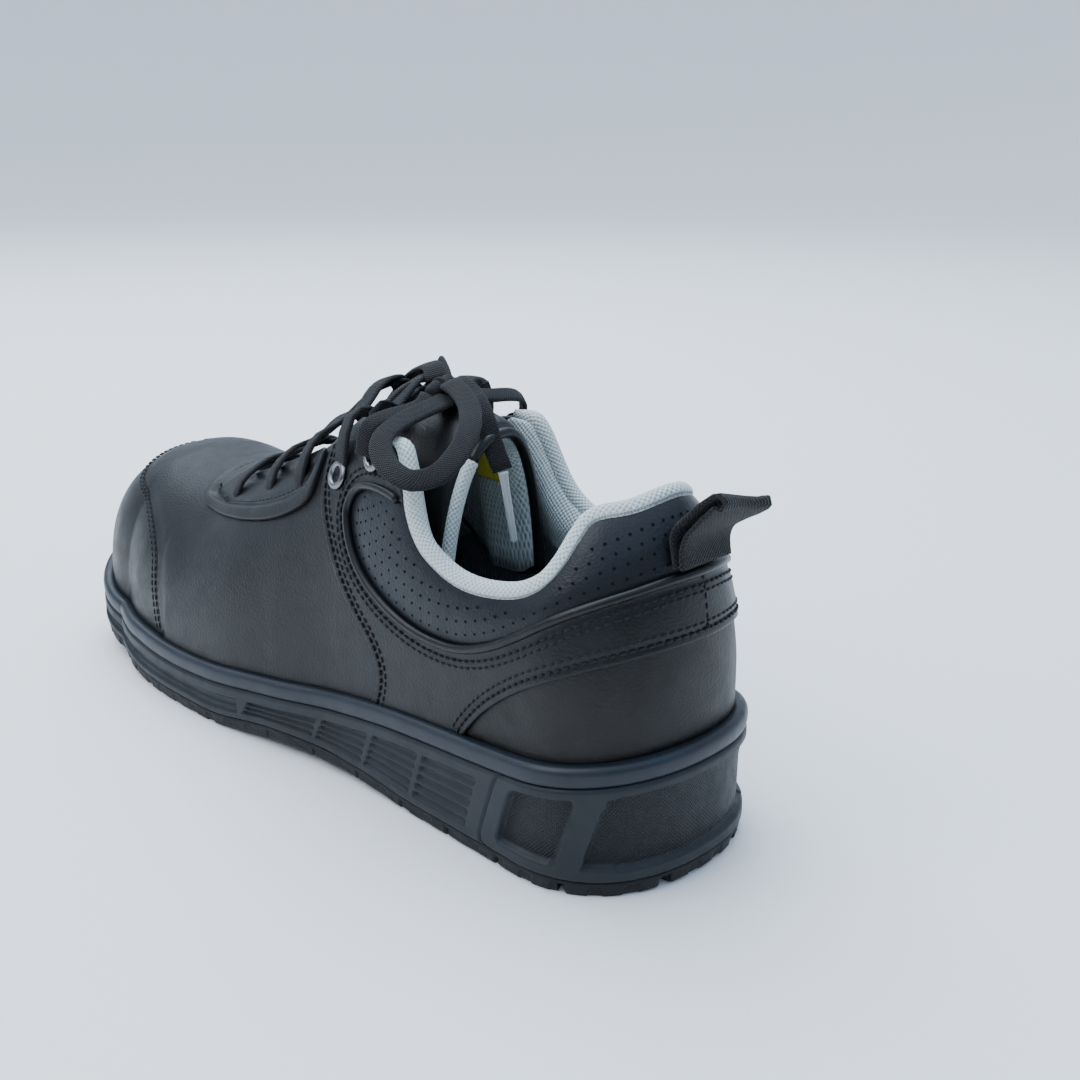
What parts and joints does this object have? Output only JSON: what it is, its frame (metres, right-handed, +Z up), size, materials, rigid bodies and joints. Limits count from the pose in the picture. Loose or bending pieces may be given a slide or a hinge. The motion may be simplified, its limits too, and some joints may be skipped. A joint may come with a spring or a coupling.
{
  "type": "safety shoe",
  "caption": "Low safety shoe with a rounded toe cap, punched side panel, padded collar, laced throat with a tied bow, heel pull loop and a ribbed sole with a lugged tread.",
  "frame": {"origin": "on the floor under the middle of the shoe's own box, pull loop counted and free laces not", "axes": "+Y towards the toe, +X towards the inner side of the foot, +Z up"},
  "size_m": [0.1044, 0.3034, 0.1278],
  "materials": {
    "black_upper": "satin, slightly grained",
    "mesh_lining": "open knitted mesh",
    "tongue_tab": "woven",
    "sole_side": "matt with satin rand",
    "outsole_rubber": "matt",
    "insole_felt": "felt",
    "eyelet_metal": "nickel",
    "lace_cloth": "flat woven",
    "lace_tip": "clear",
    "webbing": "woven tape"
  },
  "bodies": {
    "root": {"upper": "black_upper", "vamp_overlay": "black_upper", "quarter_overlay": "black_upper", "lace_patch": "black_upper", "collar_piping": "black_upper", "collar_lining": "mesh_lining", "tongue": "mesh_lining", "tongue_label": "tongue_tab", "midsole": "sole_side", "outsole": "outsole_rubber", "insole": "insole_felt", "pull_loop": "webbing", "eyelet_outer_1": "eyelet_metal", "eyelet_outer_2": "eyelet_metal", "eyelet_inner_1": "eyelet_metal", "eyelet_inner_2": "eyelet_metal", "lace_crossing_1": "lace_cloth", "lace_crossing_2": "lace_cloth", "lace_crossing_3": "lace_cloth", "lace_crossing_4": "lace_cloth", "lace_top_outer": "lace_cloth", "lace_top_inner": "lace_cloth", "lace_knot": "lace_cloth", "lace_loop_outer": "lace_cloth", "lace_loop_inner": "lace_cloth", "lace_end_outer": "lace_cloth", "lace_end_inner": "lace_cloth", "aglet_outer": "lace_tip", "aglet_inner": "lace_tip"}
  },
  "joints": []
}
